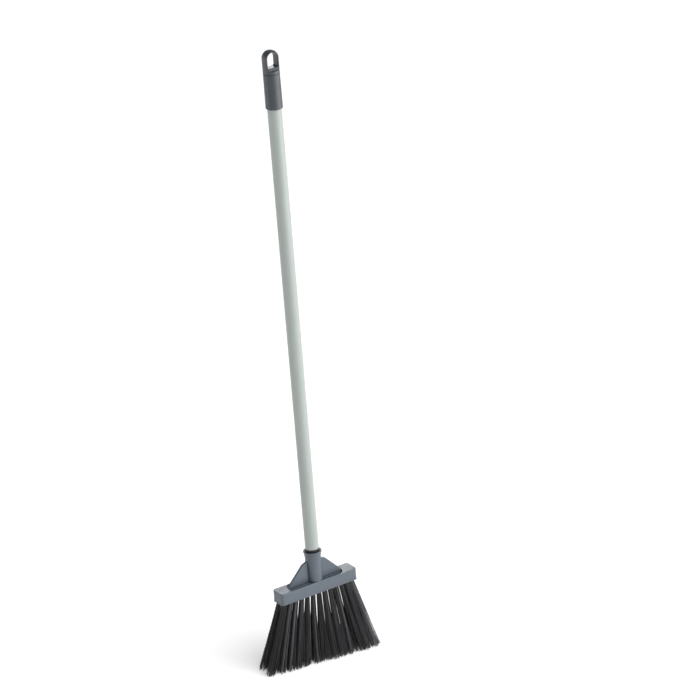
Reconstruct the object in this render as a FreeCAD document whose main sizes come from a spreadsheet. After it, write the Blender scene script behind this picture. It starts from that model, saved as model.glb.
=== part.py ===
import FreeCAD, Part

import math
import os
import re

import Sketcher

# An angle-trimmed lobby broom with a screw-in steel handle, standing on its bristle ends.
#
# Frame: the origin is where the handle's axis meets the floor. +Z is up from the floor,
# +X runs along the head towards its long-bristled end, +Y is across the head.
# The bristles are trimmed at an angle, so the broom stands with its handle leaning to -X.
# Every piece is drawn upright, with its heights measured along the handle's axis from the
# floor, and the lean is then given to it by its Placement. Lengths are in millimetres.

SIZES = {
    "lean_angle": 5.0,
    # Head block, its top pocket and its lower lip.
    "block_rise": 130.0,
    "block_length": 154.0,
    "block_width": 29.6,
    "block_height": 21.0,
    "block_corner": 5.0,
    "block_edge": 1.0,
    "lip_height": 2.2,
    "lip_reach": 0.4,
    "lip_rounding": 0.3,
    "pocket_length": 109.0,
    "pocket_width": 25.0,
    "pocket_depth": 1.0,
    "trough_depth": 7.0,
    "plinth_length": 104.0,
    "plinth_width": 16.6,
    # Webs each side of the socket.
    "web_thickness": 4.6,
    "web_foot": 55.2,
    "web_shoulder": 23.5,
    "web_shoulder_drop": 21.5,
    "web_top_drop": 16.5,
    "web_rounding": 12.0,
    "web_overlap": 2.0,
    # Socket that the handle screws into.
    "socket_height": 75.5,
    "socket_diameter": 27.6,
    "band_diameter": 29.2,
    "band_height": 8.0,
    "rim_diameter": 31.8,
    "rim_height": 3.4,
    "rim_rounding": 1.0,
    "mouth_diameter": 28.2,
    "throat_diameter": 24.4,
    "mouth_depth": 6.0,
    "seat_depth": 8.0,
    "seat_bevel": 0.8,
    "bore_spare": 1.0,
    # Screw thread, in the form that household broom handles use.
    "thread_pitch": 5.08,
    "thread_crest": 19.05,
    "thread_core": 15.6,
    "thread_root_width": 3.0,
    "thread_crest_width": 1.5,
    "thread_play": 0.35,
    "thread_sink": 0.4,
    "thread_lead_in": 1.6,
    "thread_run_out": 2.5,
    "groove_run_out": 2.0,
    "tip_bevel": 1.2,
    "seat_gap": 0.1,
    # Handle tube, threaded tip, grip sleeve and hanging loop.
    "handle_length": 914.4,
    "tip_depth": 26.4,
    "tip_flange": 22.8,
    "collar_diameter": 25.8,
    "collar_sink": 1.5,
    "collar_rise": 1.0,
    "tube_diameter": 23.5,
    "tube_wall": 0.5,
    "tube_gap": 5.0,
    "plug_play": 0.05,
    "plug_length": 25.0,
    "plug_hollow": 17.0,
    "plug_floor": 3.0,
    "sleeve_length": 58.6,
    "sleeve_top_diameter": 27.4,
    "sleeve_end_diameter": 28.3,
    "sleeve_bevel": 0.8,
    "sleeve_play": 0.05,
    "seam_gap": 0.6,
    "loop_diameter": 27.4,
    "loop_height": 39.0,
    "loop_thickness": 15.5,
    "loop_base": 5.5,
    "loop_sweep": 6.0,
    "loop_edge": 1.2,
    "slot_width": 19.4,
    "slot_sill": 10.1,
    "slot_corner": 3.0,
    # Tufts, the holes they stand in and the anchors that hold them.
    "tuft_columns": 13,
    "tuft_pitch": 11.3,
    "row_spacing": 8.6,
    "foot_pitch": 17.8,
    "foot_row_spacing": 14.6,
    "foot_shift": -2.0,
    "tuft_diameter": 7.2,
    "foot_diameter": 14.8,
    "hole_diameter": 7.5,
    "hole_depth": 12.0,
    "tuft_depth": 11.6,
    "trim_overrun": 12.0,
    "anchor_length": 8.6,
    "anchor_height": 2.4,
    "anchor_thickness": 1.2,
    "anchor_depth": 8.4,
    "anchor_play": 0.2,
    # Cutting tools: how far they run past a face, and the block that stands for the floor.
    "overcut": 2.0,
    "corner_slack": 0.01,
    "edge_slack": 0.1,
    "floor_length": 400.0,
    "floor_width": 200.0,
    "floor_depth": 60.0,
}

doc = FreeCAD.newDocument("AngleBroom")
sheet = doc.addObject("Spreadsheet::Sheet", "Sizes")
for row, (alias, number) in enumerate(SIZES.items(), start=1):
    sheet.set(f"A{row}", alias.replace("_", " "))
    sheet.set(f"B{row}", str(number))
    sheet.setAlias(f"B{row}", alias)
doc.recompute()

X_AXIS = FreeCAD.Vector(1, 0, 0)
Y_AXIS = FreeCAD.Vector(0, 1, 0)
Z_AXIS = FreeCAD.Vector(0, 0, 1)


def bound(formula):
    """The formula with each alias written as a reference to its cell in the sheet."""
    return re.sub(r"[a-z][a-z_]+", lambda word: "Sizes." + word.group(), str(formula))


def value(formula):
    """What a formula of the sheet's aliases comes to, in millimetres or degrees."""
    return float(sheet.evalExpression(bound(formula)))


RIM = "(block_rise + socket_height)"
LOOP_BASE = f"({RIM} + handle_length - tip_depth - loop_height)"
THREAD_START = "(thread_lead_in + thread_root_width / 2 - tip_depth)"
LEAN = FreeCAD.Placement(FreeCAD.Vector(), FreeCAD.Rotation(Y_AXIS, -value("lean_angle")))


def bind(item, **formulas):
    """Drives properties of a feature from the sheet, such as Length or Radius."""
    for name, formula in formulas.items():
        item.setExpression(name, bound(formula))
    return item


def shifted(item, x=0, y=0, z=0):
    """Drives a feature's position from the sheet."""
    for axis, formula in (("x", x), ("y", y), ("z", z)):
        item.setExpression("Placement.Base." + axis, bound(formula))
    return item


def join(kind, label, parts):
    """A fused or common shape of several features."""
    item = doc.addObject("Part::" + kind, label)
    item.Shapes = parts
    return item


def cut(label, base, tool):
    item = doc.addObject("Part::Cut", label)
    item.Base = base
    item.Tool = tool
    return item


def cylinder(label, radius, height, z=0, turn=None, x=0, y=0):
    """An upright cylinder, or one turned to lie along another axis."""
    item = bind(doc.addObject("Part::Cylinder", label), Radius=radius, Height=height)
    if turn:
        item.Placement.Rotation = turn
    return shifted(item, x, y, z)


def box(label, length, width, height, z=0, x=0, y=0):
    """A box centred on a point in plan, standing on the height z."""
    item = bind(doc.addObject("Part::Box", label), Length=length, Width=width, Height=height)
    return shifted(item, f"{x} - ({length}) / 2", f"{y} - ({width}) / 2", z)


def rounded(label, base, radius, wanted):
    """The base with a fillet on each edge that the test picks out."""
    doc.recompute()
    size = value(radius)
    edges = [n for n, edge in enumerate(base.Shape.Edges, start=1) if wanted(edge)]
    item = doc.addObject("Part::Fillet", label)
    item.Base = base
    item.Edges = [(n, size, size) for n in edges]
    return item


def is_upright(edge):
    """True of a straight edge along the handle's direction."""
    ends = [vertex.Point for vertex in edge.Vertexes]
    return len(ends) == 2 and abs((ends[1] - ends[0]).normalize().z) > 0.999


def slab(label, length, width, height, z, corner):
    """A flat plate with rounded plan corners."""
    plate = box(label + "Plate", length, width, height, z)
    return rounded(label, plate, corner, is_upright)


def origin_plane(body, role):
    return next(plane for plane in body.Origin.OriginFeatures if plane.Role == role)


def new_sketch(body, label, role):
    sketch = body.newObject("Sketcher::SketchObject", label)
    sketch.AttachmentSupport = [(origin_plane(body, role), "")]
    sketch.MapMode = "FlatFace"
    return sketch


def outline(body, label, role, corners):
    """A closed sketch of straight edges whose corners are formulas of the sheet."""
    sketch = new_sketch(body, label, role)
    points = [FreeCAD.Vector(value(x), value(y), 0) for x, y in corners]
    count = len(points)
    for n in range(count):
        sketch.addGeometry(Part.LineSegment(points[n], points[(n + 1) % count]))
    for n in range(count):
        sketch.addConstraint(Sketcher.Constraint("Coincident", n, 2, (n + 1) % count, 1))
    for n, corner in enumerate(corners):
        for kind, axis, formula in (("DistanceX", -2, corner[0]), ("DistanceY", -1, corner[1])):
            if value(formula) == 0:
                sketch.addConstraint(Sketcher.Constraint("PointOnObject", n, 1, axis))
                continue
            place = value(formula)
            pinned = sketch.addConstraint(Sketcher.Constraint(kind, -1, 1, n, 1, place))
            sketch.setExpression(f"Constraints[{pinned}]", bound(formula))
    return sketch


def revolved(body, label, corners):
    """A solid turned about the body's own Z axis from (radius, height) corners."""
    turned = body.newObject("PartDesign::Revolution", label)
    turned.Profile = outline(body, label + "Profile", "XZ_Plane", corners)
    turned.ReferenceAxis = (turned.Profile[0], ["V_Axis"])
    turned.Angle = 360
    return turned


def add_thread(body, label, play, low, length):
    """A right-hand ridge wound round the body's Z axis, grown by the play on every side."""
    inside = f"thread_core / 2 + {play} - thread_sink"
    root = f"thread_core / 2 + {play}"
    crest = f"thread_crest / 2 + {play}"
    wide = f"(thread_root_width / 2 + {play})"
    narrow = f"(thread_crest_width / 2 + {play})"
    corners = [
        (inside, f"{low} - {wide}"),
        (root, f"{low} - {wide}"),
        (crest, f"{low} - {narrow}"),
        (crest, f"{low} + {narrow}"),
        (root, f"{low} + {wide}"),
        (inside, f"{low} + {wide}"),
    ]
    ridge = body.newObject("PartDesign::AdditiveHelix", label)
    ridge.Profile = outline(body, label + "Profile", "XZ_Plane", corners)
    ridge.ReferenceAxis = (ridge.Profile[0], ["V_Axis"])
    ridge.Mode = "pitch-height-angle"
    ridge.LeftHanded = False
    return bind(ridge, Pitch="thread_pitch", Height=length)


def new_body(label):
    body = doc.addObject("PartDesign::Body", label)
    body.Label = label
    return body


def finished(item, label, z=None):
    """Names a sub-part, lifts a body to its height on the handle, and leans it."""
    item.Label = label
    lift = FreeCAD.Placement(FreeCAD.Vector(0, 0, value(z) if z else 0), FreeCAD.Rotation())
    item.Placement = LEAN.multiply(lift)
    return item


# ---------------------------------------------------------------- handle


def handle_tube():
    """Thin steel tube from just above the socket's rim to the foot of the hanging loop."""
    body = new_body("HandleTube")
    ring = new_sketch(body, "TubeSection", "XY_Plane")
    for n, formula in enumerate(("tube_diameter / 2", "tube_diameter / 2 - tube_wall")):
        ring.addGeometry(Part.Circle(FreeCAD.Vector(), Z_AXIS, value(formula)))
        ring.addConstraint(Sketcher.Constraint("Coincident", n, 3, -1, 1))
        pinned = ring.addConstraint(Sketcher.Constraint("Radius", n, value(formula)))
        ring.setExpression(f"Constraints[{pinned}]", bound(formula))
    pad = body.newObject("PartDesign::Pad", "TubeLength")
    pad.Profile = ring
    bind(pad, Length=f"{LOOP_BASE} - {RIM} - tube_gap")
    return finished(body, "handle_tube", f"{RIM} + tube_gap")


def thread_tip():
    """Moulded plug pressed into the tube's end, with a collar and the screw thread below."""
    body = new_body("ThreadTip")
    bore = "tube_diameter / 2 - tube_wall - plug_play"
    seat = "(0 - seat_depth + seat_gap)"
    corners = [
        (0, "0 - tip_depth"),
        ("thread_core / 2 - tip_bevel", "0 - tip_depth"),
        ("thread_core / 2", "tip_bevel - tip_depth"),
        ("thread_core / 2", seat),
        ("tip_flange / 2", seat),
        ("tip_flange / 2", "0 - collar_sink"),
        ("collar_diameter / 2", "0 - collar_sink"),
        ("collar_diameter / 2", "collar_rise"),
        ("tip_flange / 2", "collar_rise"),
        ("tip_flange / 2", "tube_gap"),
        (bore, "tube_gap"),
        (bore, "tube_gap + plug_length"),
        ("plug_hollow / 2", "tube_gap + plug_length"),
        ("plug_hollow / 2", "tube_gap + plug_floor"),
        (0, "tube_gap + plug_floor"),
    ]
    revolved(body, "Plug", corners)
    high = "(0 - seat_depth - thread_run_out - thread_root_width / 2)"
    add_thread(body, "Thread", "0", THREAD_START, f"{high} - {THREAD_START}")
    return finished(body, "thread_tip", RIM)


def grip_sleeve():
    """Plain sleeve round the top of the tube, a little wider at its lower end."""
    body = new_body("GripSleeve")
    inside = "tube_diameter / 2 + sleeve_play"
    top = "sleeve_length - seam_gap"
    corners = [
        (inside, 0),
        ("sleeve_end_diameter / 2 - sleeve_bevel", 0),
        ("sleeve_end_diameter / 2", "sleeve_bevel"),
        ("sleeve_top_diameter / 2", f"{top} - sleeve_bevel / 2"),
        ("sleeve_top_diameter / 2 - sleeve_bevel / 2", top),
        (inside, top),
    ]
    revolved(body, "Sleeve", corners)
    return finished(body, "grip_sleeve", f"{LOOP_BASE} - sleeve_length")


def hang_loop():
    """Cap that plugs the tube's top: a domed barrel, flattened and slotted into a loop."""
    across = FreeCAD.Rotation(X_AXIS, -90)
    along = FreeCAD.Rotation(Y_AXIS, 90)
    radius = "loop_diameter / 2"
    crown = f"(loop_height - {radius})"
    dome = bind(doc.addObject("Part::Sphere", "LoopDome"), Radius=radius)
    blank = join("MultiFuse", "LoopBlank", [
        cylinder("LoopBarrel", radius, crown), shifted(dome, 0, 0, crown),
    ])
    sides = []
    for n, side in enumerate((-1, 1)):
        reach = f"{side} * (loop_thickness / 2 + loop_sweep)"
        sides.append(cylinder(
            f"LoopScoop{n}", "loop_sweep", "loop_diameter",
            "loop_base + loop_sweep", along, f"0 - {radius}", reach,
        ))
        sides.append(box(
            f"LoopSide{n}", "loop_diameter", "2 * loop_sweep", "loop_height",
            "loop_base + loop_sweep", 0, reach,
        ))
    slot_foot = rounded(
        "SlotFoot",
        box("SlotLegs", "slot_width", "loop_diameter", f"{crown} - slot_sill", "slot_sill"),
        "slot_corner", is_sill_corner,
    )
    slot_arch = cylinder(
        "SlotArch", "slot_width / 2", "loop_diameter", crown, across, 0, f"0 - {radius}",
    )
    flat = cut("LoopFlat", blank, join("MultiFuse", "LoopSides", sides))
    holed = cut("LoopHoled", flat, join("MultiFuse", "Slot", [slot_foot, slot_arch]))
    soft = rounded("LoopSoft", holed, "loop_edge", is_slot_edge)
    plug = "tube_diameter / 2 - tube_wall - plug_play"
    stem = cylinder("LoopPlug", plug, "plug_length", "0 - plug_length")
    return finished(join("MultiFuse", "LoopWhole", [soft, stem]), "hang_loop", LOOP_BASE)


def is_sill_corner(edge):
    """True of the two lower edges that run through the slot."""
    span = edge.BoundBox
    return span.YLength > value("slot_corner") and span.ZMax < value("slot_sill + edge_slack")


def is_slot_edge(edge):
    """True of the edges round both mouths of the hanging loop's slot."""
    middle = edge.valueAt((edge.FirstParameter + edge.LastParameter) / 2)
    rise = max(middle.z - value("loop_height - loop_diameter / 2"), 0)
    in_slot = math.hypot(middle.x, rise) < value("slot_width / 2 + edge_slack")
    above_sill = middle.z > value("slot_sill - edge_slack")
    return abs(middle.y) > value("slot_corner") and in_slot and above_sill


# ---------------------------------------------------------------- head


def socket_bore():
    """The hollow of the socket: bell mouth, throat, seat and internal thread."""
    body = new_body("SocketBore")
    core = "thread_core / 2 + thread_play"
    floor = "0 - tip_depth - bore_spare"
    corners = [
        (0, floor),
        (core, floor),
        (core, "0 - seat_depth - seat_bevel"),
        (f"{core} + seat_bevel", "0 - seat_depth"),
        ("throat_diameter / 2", "0 - seat_depth"),
        ("throat_diameter / 2", "0 - mouth_depth"),
        ("mouth_diameter / 2", 0),
        ("mouth_diameter / 2", "overcut"),
        (0, "overcut"),
    ]
    revolved(body, "Bore", corners)
    high = "(groove_run_out - seat_depth)"
    add_thread(body, "Groove", "thread_play", THREAD_START, f"{high} - {THREAD_START}")
    return shifted(body, 0, 0, RIM)


def webs():
    """One plate through the socket's axis, its two wings sloping down to the block."""
    body = new_body("Webs")
    top = f"{RIM} - web_top_drop"
    shoulder = f"{RIM} - web_shoulder_drop"
    floor = "block_rise + block_height - trough_depth"
    half = "(socket_diameter / 2 - web_overlap)"
    corners = [
        ("0 - web_foot", floor),
        ("web_foot", floor),
        ("web_foot", "block_rise + block_height"),
        ("web_shoulder", shoulder),
        (half, top),
        (f"0 - {half}", top),
        ("0 - web_shoulder", shoulder),
        ("0 - web_foot", "block_rise + block_height"),
    ]
    pad = body.newObject("PartDesign::Pad", "WebPlate")
    pad.Profile = outline(body, "WebProfile", "XZ_Plane", corners)
    pad.Midplane = True
    bind(pad, Length="web_thickness")
    doc.recompute()
    reach = value("web_shoulder")
    names = [
        f"Edge{n}" for n, edge in enumerate(pad.Shape.Edges, start=1)
        if edge.BoundBox.YLength > value("web_overlap")
        and abs(abs(edge.BoundBox.Center.x) - reach) < value("edge_slack")
    ]
    fillet = body.newObject("PartDesign::Fillet", "WebShoulders")
    fillet.Base = (pad, names)
    bind(fillet, Radius="web_rounding")
    return body


def head_block(holes):
    """Moulded head: tufted block, hollowed top, webs and the threaded socket."""
    top = "(block_rise + block_height)"
    block = slab(
        "Block", "block_length", "block_width", "block_height", "block_rise", "block_corner",
    )
    soft = rounded(
        "BlockSoft", block, "block_edge",
        lambda edge: edge.BoundBox.ZMin > value(f"{top} - corner_slack"),
    )
    lip_plate = slab(
        "Lip", "block_length + 2 * lip_reach", "block_width + 2 * lip_reach", "lip_height",
        "block_rise", "block_corner + lip_reach",
    )
    lip = rounded(
        "LipSoft", lip_plate, "lip_rounding",
        lambda edge: edge.BoundBox.ZMin > value("block_rise + corner_slack"),
    )
    trough = slab(
        "Trough", "pocket_length", "pocket_width", "trough_depth + overcut",
        f"{top} - trough_depth", "pocket_width / 2 - corner_slack",
    )
    plinth = slab(
        "Plinth", "plinth_length", "plinth_width", "trough_depth - pocket_depth",
        f"{top} - trough_depth", "plinth_width / 2 - corner_slack",
    )
    hollowed = cut("BlockHollowed", join("MultiFuse", "BlockLipped", [soft, lip]), trough)
    foot = f"{top} - trough_depth"
    barrel = cylinder("Barrel", "socket_diameter / 2", f"{RIM} - rim_height - ({foot})", foot)
    band = cylinder(
        "Band", "band_diameter / 2", "band_height - rim_height", f"{RIM} - band_height",
    )
    rim = rounded(
        "Rim", cylinder("RimRing", "rim_diameter / 2", "rim_height", f"{RIM} - rim_height"),
        "rim_rounding", lambda edge: edge.BoundBox.XLength > value("rim_rounding"),
    )
    solid = join("MultiFuse", "HeadSolid", [hollowed, plinth, webs(), barrel, band, rim])
    bored = cut("HeadBored", solid, socket_bore())
    return finished(cut("HeadBlock", bored, holes), "head_block")


# ---------------------------------------------------------------- tufts


def tuft_axes():
    """The root and the foot of every tuft's centre line, row by row from the front.

    The outer rows have one tuft more than the middle row, which stands between them.
    """
    slope = math.tan(math.radians(value("lean_angle")))
    columns = int(value("tuft_columns"))
    axes = []
    for row, count in ((-1, columns), (0, columns - 1), (1, columns)):
        for column in range(count):
            step = column - (count - 1) / 2
            x_foot = value("foot_shift") + step * value("foot_pitch")
            root = FreeCAD.Vector(
                step * value("tuft_pitch"), row * value("row_spacing"), value("block_rise"),
            )
            foot = FreeCAD.Vector(x_foot, row * value("foot_row_spacing"), -x_foot * slope)
            axes.append((root, foot))
    return axes


def along_tuft(root, foot, distance):
    """A placement on the tuft's centre line, its Z pointing down towards the foot."""
    down = (foot - root).normalize()
    turn = FreeCAD.Rotation(FreeCAD.Vector(), Y_AXIS, down, "ZYX")
    return FreeCAD.Placement(root + down * distance, turn)


def tuft(name, root, foot, floor):
    """One bundle of bristles: a round root in its hole, spreading to a foot on the floor."""
    length = (foot - root).Length
    overrun = value("trim_overrun")
    growth = (value("foot_diameter") - value("tuft_diameter")) / 2 / length
    stem = bind(
        doc.addObject("Part::Cylinder", name + "_stem"),
        Radius="tuft_diameter / 2", Height="tuft_depth",
    )
    stem.Placement = along_tuft(root, foot, -value("tuft_depth"))
    brush = bind(doc.addObject("Part::Cone", name + "_brush"), Radius1="tuft_diameter / 2")
    brush.Height = length + overrun
    brush.Radius2 = value("foot_diameter") / 2 + growth * overrun
    brush.Placement = along_tuft(root, foot, 0)
    fold = anchor_bar(name + "_fold", root, foot, "2 * anchor_play")
    bundle = join("MultiFuse", name + "_bundle", [stem, brush])
    waste = join("MultiFuse", name + "_waste", [floor, fold])
    return finished(cut(name + "_trimmed", bundle, waste), name)


def tuft_hole(name, root, foot):
    """The blind hole for one tuft, run out a little through the block's underside."""
    hole = bind(
        doc.addObject("Part::Cylinder", name),
        Radius="hole_diameter / 2", Height="hole_depth + overcut",
    )
    hole.Placement = along_tuft(root, foot, -value("hole_depth"))
    return hole


def anchor_bar(name, root, foot, play):
    """The flat wire that pins a tuft's fold, set across the hole, grown by the play."""
    bar = bind(
        doc.addObject("Part::Box", name),
        Length=f"anchor_thickness + {play}",
        Width=f"anchor_length + {play}",
        Height=f"anchor_height + {play}",
    )
    corner = FreeCAD.Vector(bar_half(f"anchor_thickness + {play}"),
                            bar_half(f"anchor_length + {play}"),
                            bar_half(f"anchor_height + {play}"))
    centre = along_tuft(root, foot, -value("anchor_depth"))
    bar.Placement = centre.multiply(FreeCAD.Placement(corner, FreeCAD.Rotation()))
    return bar


def bar_half(formula):
    return -value(formula) / 2


def floor_slab():
    """Everything under the floor, which trims the tufts, in the upright drawing's frame."""
    slab_box = doc.addObject("Part::Box", "Floor")
    bind(slab_box, Length="floor_length", Width="floor_width", Height="floor_depth")
    corner = FreeCAD.Placement(FreeCAD.Vector(
        -value("floor_length") / 2, -value("floor_width") / 2, -value("floor_depth"),
    ), FreeCAD.Rotation())
    slab_box.Placement = LEAN.inverse().multiply(corner)
    return slab_box


# ---------------------------------------------------------------- the whole broom


def build():
    axes = tuft_axes()
    holes = join("MultiFuse", "TuftHoles", [
        tuft_hole(f"TuftHole{n:02d}", root, foot) for n, (root, foot) in enumerate(axes, start=1)
    ])
    floor = floor_slab()
    pieces = [handle_tube(), thread_tip(), grip_sleeve(), hang_loop(), head_block(holes)]
    for n, (root, foot) in enumerate(axes, start=1):
        pieces.append(tuft(f"tuft_{n:02d}", root, foot, floor))
    anchors = doc.addObject("Part::Compound", "TuftAnchors")
    anchors.Links = [
        anchor_bar(f"Anchor{n:02d}", root, foot, "0") for n, (root, foot) in enumerate(axes, start=1)
    ]
    pieces.append(finished(anchors, "tuft_anchors"))
    doc.recompute()
    return pieces


def check(pieces):
    """Stops on any failed feature and on any sub-part that isn't a sound solid."""
    for item in doc.Objects:
        if "Invalid" in item.State or "Error" in item.State:
            raise RuntimeError(f"{item.Name} failed: {item.State}")
    for piece in pieces:
        if piece.Shape.isNull() or not piece.Shape.isValid() or not piece.Shape.Solids:
            raise RuntimeError(f"{piece.Label} isn't a valid solid")


pieces = build()
check(pieces)
os.makedirs("parts", exist_ok=True)
for piece in pieces:
    piece.Shape.exportStep(f"parts/{piece.Label}.step")
    box_size = piece.Shape.BoundBox
    print(piece.Label, len(piece.Shape.Solids), "solid(s)", round(piece.Shape.Volume), "mm3",
          "z", round(box_size.ZMin, 2), "to", round(box_size.ZMax, 2))
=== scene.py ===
import math

import bpy
import numpy as np
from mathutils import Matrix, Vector


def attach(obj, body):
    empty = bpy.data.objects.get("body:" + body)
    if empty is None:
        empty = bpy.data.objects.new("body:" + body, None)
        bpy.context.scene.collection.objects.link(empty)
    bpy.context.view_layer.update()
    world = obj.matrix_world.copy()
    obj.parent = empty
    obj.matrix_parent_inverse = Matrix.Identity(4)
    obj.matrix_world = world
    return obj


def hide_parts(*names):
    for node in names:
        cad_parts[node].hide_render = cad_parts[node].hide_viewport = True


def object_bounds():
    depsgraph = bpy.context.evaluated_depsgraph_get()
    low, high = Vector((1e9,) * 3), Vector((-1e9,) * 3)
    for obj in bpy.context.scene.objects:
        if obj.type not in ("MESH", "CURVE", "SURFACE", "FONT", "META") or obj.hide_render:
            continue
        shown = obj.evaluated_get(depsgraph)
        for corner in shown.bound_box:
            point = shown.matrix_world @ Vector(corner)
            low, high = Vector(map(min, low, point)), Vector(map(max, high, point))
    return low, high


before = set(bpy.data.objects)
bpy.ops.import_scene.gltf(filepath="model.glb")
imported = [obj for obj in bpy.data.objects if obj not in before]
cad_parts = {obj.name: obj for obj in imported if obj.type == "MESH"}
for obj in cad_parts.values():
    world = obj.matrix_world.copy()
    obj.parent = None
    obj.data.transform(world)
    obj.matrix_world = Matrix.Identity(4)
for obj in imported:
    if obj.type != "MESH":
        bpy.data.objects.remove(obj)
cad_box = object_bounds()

# An angle-trimmed lobby broom, standing on its bristles. The frame holds the moulded
# head, the handle, the grip and a plain solid for each tuft. Here each tuft becomes a
# bundle of separate filaments, and every piece gets its material.

MM = 0.001

# Painted shade in the mouldings' creases: how near another face counts, how dark the painted shade
# gets in the deepest corner, and the occlusion values at which it is darkest and clear.
CREASE_REACH = 4 * MM
CREASE_DARKEST = 0.3
CREASE_SPAN = (0.4, 0.9)
CREASE_SAMPLES = 12

# The Mix node's sockets share names between its types, so its colours go by number.
MIX_COLOUR_A, MIX_COLOUR_B, MIX_COLOUR_RESULT = 6, 7, 2

# How far the mouldings' roughness drifts to either side.
ROUGHNESS_DRIFT = 0.05


# ---------------------------------------------------------------- node helpers


class Nodes:
    """Short calls for building one material's node tree."""

    def __init__(self, name):
        self.material = bpy.data.materials.new(name)
        self.material.use_nodes = True
        self.tree = self.material.node_tree
        self.shader = self.tree.nodes["Principled BSDF"]
        coords = self.tree.nodes.new("ShaderNodeTexCoord")
        self.place = coords.outputs["Object"]

    def link(self, source, target):
        self.tree.links.new(source, target)

    def noise(self, size, detail, stretch=(1, 1, 1)):
        """Noise whose features are about size metres across, drawn out by stretch."""
        mapping = self.tree.nodes.new("ShaderNodeMapping")
        mapping.inputs["Scale"].default_value = [1 / (size * s) for s in stretch]
        self.link(self.place, mapping.inputs["Vector"])
        texture = self.tree.nodes.new("ShaderNodeTexNoise")
        texture.inputs["Scale"].default_value = 1.0
        texture.inputs["Detail"].default_value = detail
        self.link(mapping.outputs["Vector"], texture.inputs["Vector"])
        return texture.outputs["Fac"]

    def ramp(self, source, stops):
        """A smooth map from a value to colours, as (position, colour) stops."""
        node = self.tree.nodes.new("ShaderNodeValToRGB")
        elements = node.color_ramp.elements
        while len(elements) < len(stops):
            elements.new(0.5)
        for element, (position, colour) in zip(elements, stops):
            element.position = position
            element.color = (*colour, 1)
        self.link(source, node.inputs["Fac"])
        return node.outputs["Color"]

    def spread(self, source, low, high, start=0.3, end=0.7):
        """A value mapped from the span start to end onto low to high."""
        node = self.tree.nodes.new("ShaderNodeMapRange")
        node.inputs["From Min"].default_value = start
        node.inputs["From Max"].default_value = end
        node.inputs["To Min"].default_value = low
        node.inputs["To Max"].default_value = high
        self.link(source, node.inputs["Value"])
        return node.outputs["Result"]

    def bump(self, source, height, strength, below=None):
        """A bump of the given height in metres, laid over another one if stated."""
        node = self.tree.nodes.new("ShaderNodeBump")
        node.inputs["Distance"].default_value = height
        node.inputs["Strength"].default_value = strength
        self.link(source, node.inputs["Height"])
        if below:
            self.link(below, node.inputs["Normal"])
        return node.outputs["Normal"]

    def paint_crease_shade(self, colour):
        """The colour with painted shade, darkened in corners where another face is near."""
        shade = self.tree.nodes.new("ShaderNodeAmbientOcclusion")
        shade.samples = CREASE_SAMPLES
        shade.inputs["Distance"].default_value = CREASE_REACH
        node = self.tree.nodes.new("ShaderNodeMix")
        node.data_type = "RGBA"
        node.blend_type = "MULTIPLY"
        node.inputs["Factor"].default_value = 1.0
        self.link(colour, node.inputs[MIX_COLOUR_A])
        closed, open_air = CREASE_SPAN
        # Painted shade: the occlusion value darkens the colour in corners and creases.
        painted_shade = self.ramp(
            shade.outputs["AO"], [(closed, (CREASE_DARKEST,) * 3), (open_air, (1, 1, 1))],
        )
        self.link(painted_shade, node.inputs[MIX_COLOUR_B])
        return node.outputs[MIX_COLOUR_RESULT]

    def attribute(self, name):
        node = self.tree.nodes.new("ShaderNodeAttribute")
        node.attribute_name = name
        return node.outputs["Fac"]

    def set(self, **values):
        for name, value in values.items():
            self.shader.inputs[name.replace("_", " ")].default_value = value

    def feed(self, **sources):
        for name, source in sources.items():
            self.link(source, self.shader.inputs[name.replace("_", " ")])


def tint(colour, factor):
    """A colour made darker or paler by a factor."""
    return tuple(channel * factor for channel in colour)


def moulded(name, colour, roughness):
    """Injection-moulded plastic: fine spark-eroded grain, faint flow marks, soft sheen, and painted
    shade in the creases.
    """
    n = Nodes(name)
    flow = n.noise(size=22 * MM, detail=4.0, stretch=(1.6, 1, 0.7))
    grain = n.noise(size=0.45 * MM, detail=2.0)
    shade = n.ramp(flow, [(0.32, tint(colour, 0.94)), (0.68, tint(colour, 1.06))])
    waves = n.bump(flow, height=0.12 * MM, strength=0.5)
    n.feed(
        # The base colour carries painted shade in the creases.
        Base_Color=n.paint_crease_shade(shade),
        Roughness=n.spread(flow, roughness - ROUGHNESS_DRIFT, roughness + ROUGHNESS_DRIFT),
        Normal=n.bump(grain, height=0.03 * MM, strength=0.7, below=waves),
    )
    return n.material


def coated_steel(name, colour):
    """Powder-coated tube: slight orange peel, a satin gloss and a few fine handling marks."""
    n = Nodes(name)
    peel = n.noise(size=1.4 * MM, detail=2.0)
    cloud = n.noise(size=45 * MM, detail=3.0, stretch=(1, 1, 3))
    marks = n.noise(size=0.8 * MM, detail=1.0, stretch=(1, 1, 30))
    n.feed(
        Base_Color=n.ramp(cloud, [(0.3, tint(colour, 0.975)), (0.7, tint(colour, 1.02))]),
        Roughness=n.spread(marks, low=0.42, high=0.52),
        Normal=n.bump(peel, height=0.012 * MM, strength=0.6),
    )
    n.set(Coat_Weight=0.15, Coat_Roughness=0.25)
    return n.material


def filament(name, dark, pale):
    """Drawn plastic filament: each one its own shade of black, with a long soft gloss."""
    n = Nodes(name)
    tone = n.attribute("tone")
    drawn = n.noise(size=0.9 * MM, detail=2.0, stretch=(1, 1, 24))
    n.feed(
        Base_Color=n.ramp(tone, [(0.0, dark), (0.3, tint(dark, 2.2)), (1.0, pale)]),
        Roughness=n.spread(tone, low=0.42, high=0.28, start=0.0, end=1.0),
        Normal=n.bump(drawn, height=0.04 * MM, strength=0.5),
    )
    n.set(Specular_IOR_Level=0.55)
    return n.material


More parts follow.
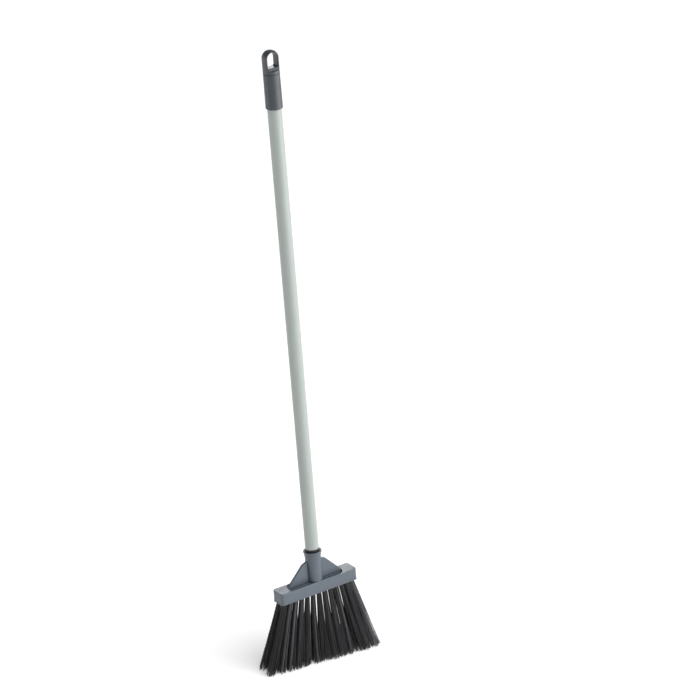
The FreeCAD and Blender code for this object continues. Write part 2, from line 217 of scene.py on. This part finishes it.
def drawn_wire(name):
    """Bare wire with fine streaks along it."""
    n = Nodes(name)
    streak = n.noise(size=0.3 * MM, detail=2.0, stretch=(1, 12, 1))
    n.feed(
        Base_Color=n.ramp(streak, [(0.3, (0.42, 0.42, 0.43)), (0.7, (0.6, 0.6, 0.61))]),
        Roughness=n.spread(streak, low=0.3, high=0.5),
    )
    n.set(Metallic=1.0)
    return n.material


def dress(node, material):
    """Gives a CAD node its material in every slot."""
    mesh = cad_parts[node].data
    mesh.materials.clear()
    mesh.materials.append(material)


# ---------------------------------------------------------------- bristles

SEED = 36

# A tuft's filaments, the rings along each one, the sides of a ring, and its radius.
FILAMENTS = 110
STATIONS = 10
SIDES = 5
RADIUS = 0.36 * MM
RADIUS_SPREAD = (0.85, 1.12)
TIP_TAPER = 0.82

# Filaments gather in clumps towards the floor. The spread of the clumps and the jitter
# are in radii of the tuft, gathering is the share of the way to the clump's middle, and
# the twist of the seats is in radians.
CLUMPS = 17
CLUMP_SPREAD = 0.55
GATHER = (0.25, 0.8)
END_JITTER = 0.1
SEAT_TWIST = 0.5

# How far the foot of a tuft, a clump, a filament and a stray one wanders, and how much
# of that is left across the head.
TUFT_LEAN = 1.7 * MM
CLUMP_LEAN = 0.9 * MM
FILAMENT_LEAN = 0.4 * MM
STRAY_LEAN = 3.0 * MM
STRAY_SHARE = 0.05
LEAN_SHARES = (1.0, 0.5)

# The tuft's outline against its plain solid, and how late it opens on its way down.
ROOT_FILL = 0.9
FOOT_FILL = 1.14
OPENING = 1.32

# A filament's waves over its length, their size, how far it is cut short, and its least
# height over the floor.
WAVES = (1.3, 2.9)
WAVE_SIZE = 0.42 * MM
CUT_SHORT = 0.8 * MM
FLOOR_GAP = 0.05 * MM

# Shapes of the beta distributions of tone, most of it shared by a clump.
CLUMP_TONE = (0.55, 1.9)
FILAMENT_TONE = (0.6, 1.9)
CLUMP_TONE_SHARE = 0.75

# How deep a slice of a tuft's solid counts as its top end, and as its foot.
TOP_SLICE = 2.6 * MM
FOOT_SLICE = 0.2 * MM


def tuft_line(node):
    """The middle and the radius of a tuft's top end and of its foot on the floor."""
    corners = np.array([vertex.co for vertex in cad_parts[node].data.vertices])
    height = corners[:, 2]
    upper = corners[height > height.max() - TOP_SLICE]
    lower = corners[height < FOOT_SLICE]
    top, foot = upper.mean(axis=0), lower.mean(axis=0)
    root_radius = np.linalg.norm(upper - top, axis=1).max()
    foot_radius = np.linalg.norm(lower - foot, axis=1).max()
    return top, foot, root_radius, foot_radius


def bundle(node, material, rng):
    """One tuft as separate filaments that leave its hole together and spread to the floor."""
    top, foot, root_radius, foot_radius = tuft_line(node)
    length = np.linalg.norm(foot - top)
    down = (foot - top) / length
    side = np.cross([0.0, 1.0, 0.0], down)
    side /= np.linalg.norm(side)
    across = np.cross(down, side)

    index = np.arange(FILAMENTS)
    reach = np.sqrt((index + 0.5) / FILAMENTS)
    angle = index * math.pi * (3 - math.sqrt(5)) + rng.uniform(0, SEAT_TWIST, FILAMENTS)
    seat = np.stack([reach * np.cos(angle), reach * np.sin(angle)], axis=1)

    centres = rng.normal(0, CLUMP_SPREAD, (CLUMPS, 2))
    nearest = np.argmin(np.linalg.norm(seat[:, None] - centres[None], axis=2), axis=1)
    gather = rng.uniform(*GATHER, FILAMENTS)[:, None]
    end = seat + (centres[nearest] - seat) * gather + rng.normal(0, END_JITTER, (FILAMENTS, 2))
    stray = rng.normal(0, STRAY_LEAN, (FILAMENTS, 2)) * (rng.random((FILAMENTS, 1)) < STRAY_SHARE)
    lean = rng.normal(0, TUFT_LEAN, 2) + rng.normal(0, CLUMP_LEAN, (CLUMPS, 2))[nearest]
    lean = (lean + stray + rng.normal(0, FILAMENT_LEAN, (FILAMENTS, 2))) * LEAN_SHARES

    t = np.linspace(0, 1, STATIONS)[None, :, None]
    open_out = t**OPENING
    radius = root_radius * ROOT_FILL * (1 - open_out) + foot_radius * FOOT_FILL * open_out
    plan = (seat[:, None] * (1 - open_out) + end[:, None] * open_out) * radius
    plan = plan + lean[:, None] * t**2
    for waves in WAVES:
        phase = rng.uniform(0, 2 * math.pi, (FILAMENTS, 1, 2))
        size = rng.normal(0, WAVE_SIZE / waves, (FILAMENTS, 1, 2))
        plan = plan + size * np.sin(phase + waves * 2 * math.pi * t) * t
    short = np.abs(rng.normal(0, CUT_SHORT, FILAMENTS))
    short += np.abs(rng.normal(0, CUT_SHORT, CLUMPS))[nearest]

    line = top + down * (length * t)
    path = line + plan[..., :1] * side + plan[..., 1:] * across
    drop = path[:, :1, 2:] - path[:, -1:, 2:]
    wanted = path[:, :1, 2:] - short[:, None, None]
    path = path[:, :1] + (path - path[:, :1]) * (wanted / drop)

    turn = np.arange(SIDES) * 2 * math.pi / SIDES
    ring = np.cos(turn)[:, None] * side + np.sin(turn)[:, None] * across
    thick = RADIUS * rng.uniform(*RADIUS_SPREAD, (FILAMENTS, 1, 1, 1))
    taper = np.linspace(1, TIP_TAPER, STATIONS)[None, :, None, None]
    vertices = (path[:, :, None] + ring * thick * taper).reshape(-1, 3)
    vertices[:, 2] = np.maximum(vertices[:, 2], FLOOR_GAP)

    faces = []
    for f in range(FILAMENTS):
        start = f * STATIONS * SIDES
        for s in range(STATIONS - 1):
            low = start + s * SIDES
            for k in range(SIDES):
                near, far = low + k, low + (k + 1) % SIDES
                faces.append((near, far, far + SIDES, near + SIDES))
        last = start + (STATIONS - 1) * SIDES
        faces.append(tuple(start + k for k in reversed(range(SIDES))))
        faces.append(tuple(last + k for k in range(SIDES)))

    mesh = bpy.data.meshes.new(node + "_filaments")
    mesh.from_pydata(vertices.tolist(), [], faces)
    mesh.shade_smooth()
    clump_tone = rng.beta(*CLUMP_TONE, CLUMPS)[nearest]
    own_tone = rng.beta(*FILAMENT_TONE, FILAMENTS)
    tone = CLUMP_TONE_SHARE * clump_tone + (1 - CLUMP_TONE_SHARE) * own_tone
    tone = np.repeat(tone, STATIONS * SIDES)
    mesh.attributes.new("tone", "FLOAT", "POINT").data.foreach_set("value", tone)
    mesh.materials.append(material)
    piece = bpy.data.objects.new(node + "_filaments", mesh)
    bpy.context.scene.collection.objects.link(piece)
    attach(piece, "head")
    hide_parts(node)


# ---------------------------------------------------------------- the broom

HEAD_GREY = (0.078, 0.095, 0.116)
GRIP_GREY = (0.032, 0.038, 0.045)
COAT = (0.292, 0.324, 0.304)
BLACK = (0.012, 0.012, 0.014)
BRISTLE_DARK = (0.003, 0.003, 0.004)
BRISTLE_PALE = (0.122, 0.124, 0.138)

dress("head_block", moulded("head_plastic", HEAD_GREY, 0.38))
grip_plastic = moulded("grip_plastic", GRIP_GREY, 0.42)
dress("grip_sleeve", grip_plastic)
dress("hang_loop", grip_plastic)
dress("handle_tube", coated_steel("tube_coating", COAT))
dress("thread_tip", moulded("tip_plastic", BLACK, 0.45))
dress("tuft_anchors", drawn_wire("anchor_wire"))

bristle = filament("bristle_filament", BRISTLE_DARK, BRISTLE_PALE)
tufts = sorted({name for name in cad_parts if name.startswith("tuft_")} - {"tuft_anchors"})
for count, tuft in enumerate(tufts):
    bundle(tuft, bristle, np.random.default_rng(SEED + count))


# ---------------------------------------------------------------- floor, light and camera


def floor():
    """A wide pale floor that glows a little, so that it stays white out to the horizon."""
    mesh = bpy.data.meshes.new("floor")
    half = 30.0
    corners = [(-half, -half, 0), (half, -half, 0), (half, half, 0), (-half, half, 0)]
    mesh.from_pydata(corners, [], [(0, 1, 2, 3)])
    n = Nodes("pale_floor")
    patches = n.noise(size=0.9, detail=2.0)
    n.feed(Base_Color=n.ramp(patches, [(0.3, (0.78, 0.78, 0.78)), (0.7, (0.8, 0.8, 0.8))]))
    n.set(Roughness=0.9, Specular_IOR_Level=0.1, Emission_Color=(1, 1, 1, 1), Emission_Strength=0.3)
    mesh.materials.append(n.material)
    plane = bpy.data.objects.new("floor", mesh)
    bpy.context.scene.collection.objects.link(plane)


def view_back(azimuth, elevation):
    """The direction from the broom to a viewer. At azimuth 0 the viewer looks along +Y."""
    a, e = math.radians(azimuth), math.radians(elevation)
    return Vector((math.sin(a) * math.cos(e), -math.cos(a) * math.cos(e), math.sin(e)))


def lamp(name, kind, azimuth, elevation, strength, aim, distance, **settings):
    """A light placed round the broom as a camera would be, and aimed at it."""
    data = bpy.data.lights.new(name, kind)
    data.energy = strength
    for setting, value in settings.items():
        setattr(data, setting, value)
    light = bpy.data.objects.new(name, data)
    back = view_back(azimuth, elevation)
    light.location = aim + back * distance
    light.rotation_mode = "QUATERNION"
    light.rotation_quaternion = back.to_track_quat("Z", "Y")
    bpy.context.scene.collection.objects.link(light)


# The backdrop's strength against the sine of elevation: white at and below the horizon,
# so that it meets the floor unseen, and dim overhead.
GLOW = {"From Min": 0.12, "From Max": 0.3, "To Min": 1.02, "To Max": 0.16}


def studio(middle):
    """A white backdrop, a broad sky light, a large key box on the right and softer lights."""
    world = bpy.data.worlds.new("studio")
    world.use_nodes = True
    background = world.node_tree.nodes["Background"]
    background.inputs["Color"].default_value = (1, 1, 1, 1)
    place = world.node_tree.nodes.new("ShaderNodeTexCoord")
    split = world.node_tree.nodes.new("ShaderNodeSeparateXYZ")
    glow = world.node_tree.nodes.new("ShaderNodeMapRange")
    world.node_tree.links.new(place.outputs["Generated"], split.inputs[0])
    world.node_tree.links.new(split.outputs["Z"], glow.inputs["Value"])
    world.node_tree.links.new(glow.outputs["Result"], background.inputs["Strength"])
    for socket, number in GLOW.items():
        glow.inputs[socket].default_value = number
    bpy.context.scene.world = world
    lamp(
        "sky", "SUN", azimuth=26, elevation=54, strength=2.5, aim=middle, distance=4,
        angle=math.radians(60),
    )
    lamp(
        "key", "AREA", azimuth=42, elevation=3, strength=52, aim=middle, distance=2.5,
        shape="RECTANGLE", size=3.4, size_y=1.05,
    )
    lamp(
        "fill", "AREA", azimuth=-118, elevation=6, strength=10, aim=middle, distance=2.4,
        shape="RECTANGLE", size=1.6, size_y=1.0,
    )
    lamp(
        "back", "SUN", azimuth=146, elevation=20, strength=0.85, aim=middle, distance=4,
        angle=math.radians(24),
    )


def camera():
    """A long lens in front of the broom and to its left, looking down on it without roll."""
    azimuth, elevation, distance, focal = -33.95, 19.5, 5.24, 155.8
    aside, above = 0.0495, 0.5305
    a = math.radians(azimuth)
    back = view_back(azimuth, elevation)
    right = Vector((math.cos(a), math.sin(a), 0))
    data = bpy.data.cameras.new("camera")
    data.lens = focal
    data.sensor_width = 36.0
    data.clip_start, data.clip_end = 0.05, 60
    eye = bpy.data.objects.new("camera", data)
    eye.location = right * aside + back.cross(right) * above + back * distance
    eye.rotation_mode = "QUATERNION"
    eye.rotation_quaternion = (-back).to_track_quat("-Z", "Y")
    bpy.context.scene.collection.objects.link(eye)
    bpy.context.scene.camera = eye


low, high = cad_box
floor()
studio((low + high) / 2)
camera()
bpy.context.scene.view_settings.view_transform = "Standard"
